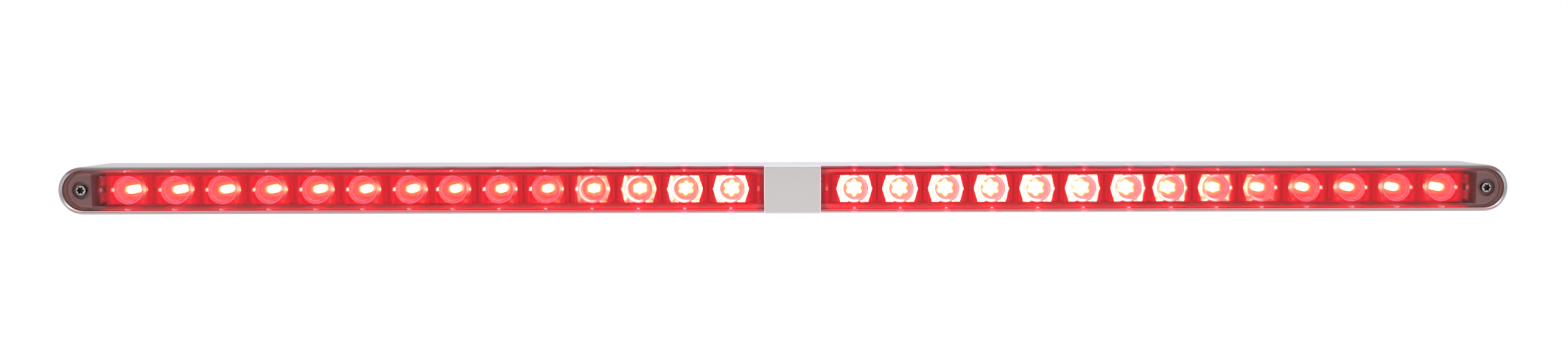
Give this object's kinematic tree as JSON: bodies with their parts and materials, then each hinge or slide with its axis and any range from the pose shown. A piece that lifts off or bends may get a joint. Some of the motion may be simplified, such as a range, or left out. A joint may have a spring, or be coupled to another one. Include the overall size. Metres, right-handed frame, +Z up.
{
  "type": "third brake light",
  "caption": "Slim high-level brake light: a long round-ended chrome housing holding two clear-lensed strips of lit red emitters, joined by a clip-on centre cap.",
  "frame": {"origin": "centre of the gasket's rear face, where the lamp meets the vehicle", "axes": "+X along the lamp towards its right end as seen from in front, +Z up, -Y out of the lens, the way the light shines"},
  "size_m": [0.6142, 0.0439, 0.0204],
  "materials": {
    "chrome_plating": "bright chrome plating on moulded plastic",
    "zinc_plate": "plain zinc-plated sheet",
    "foam_rubber": "closed-cell foam",
    "black_rubber": "smooth moulded rubber",
    "screw_steel": "passivated",
    "terminal_brass": "turned",
    "natural_nylon": "natural nylon",
    "supply_insulation": "soft insulation",
    "ground_insulation": "soft insulation",
    "dark_base_plastic": "moulded, fine satin",
    "clear_lens": "clear polished polycarbonate with a faint smoke tint",
    "clear_optic": "clear moulded acrylic",
    "white_board": "white solder mask",
    "resistor_ceramic": "chip resistors",
    "mirror_coating": "vacuum-metallised moulding",
    "lit_led": "lit red emitter under a clear dome"
  },
  "bodies": {
    "lamp": {"housing": "chrome_plating", "back_plate": "zinc_plate", "gasket": "foam_rubber", "plate_screws": "screw_steel", "mounting_studs": "screw_steel", "grommet": "black_rubber", "terminal_block": "natural_nylon", "terminal_screws": "terminal_brass", "supply_leads": "supply_insulation", "ground_leads": "ground_insulation", "outer_screws": "screw_steel", "inner_screws": "screw_steel", "screw_inserts": "terminal_brass", "left_base": "dark_base_plastic", "left_lens": "clear_lens", "left_circuit_board": "white_board", "left_resistors": "resistor_ceramic", "left_lead_gland": "black_rubber", "left_outer_reflector": "mirror_coating", "left_inner_reflector": "mirror_coating", "left_outer_optics": "clear_optic", "left_inner_optics": "clear_optic", "left_led_01": "lit_led", "left_led_02": "lit_led", "left_led_03": "lit_led", "left_led_04": "lit_led", "left_led_05": "lit_led", "left_led_06": "lit_led", "left_led_07": "lit_led", "left_led_08": "lit_led", "left_led_09": "lit_led", "left_led_10": "lit_led", "left_led_11": "lit_led", "left_led_12": "lit_led", "left_led_13": "lit_led", "left_led_14": "lit_led", "right_base": "dark_base_plastic", "right_lens": "clear_lens", "right_circuit_board": "white_board", "right_resistors": "resistor_ceramic", "right_lead_gland": "black_rubber", "right_outer_reflector": "mirror_coating", "right_inner_reflector": "mirror_coating", "right_outer_optics": "clear_optic", "right_inner_optics": "clear_optic", "right_led_01": "lit_led", "right_led_02": "lit_led", "right_led_03": "lit_led", "right_led_04": "lit_led", "right_led_05": "lit_led", "right_led_06": "lit_led", "right_led_07": "lit_led", "right_led_08": "lit_led", "right_led_09": "lit_led", "right_led_10": "lit_led", "right_led_11": "lit_led", "right_led_12": "lit_led", "right_led_13": "lit_led", "right_led_14": "lit_led"},
    "cap": {"centre_cap": "chrome_plating"}
  },
  "joints": [
    {"name": "cap_pull", "type": "slide", "parent": "lamp", "child": "cap", "axis": [0, -1, 0], "range_m": [0, 0.012]}
  ]
}
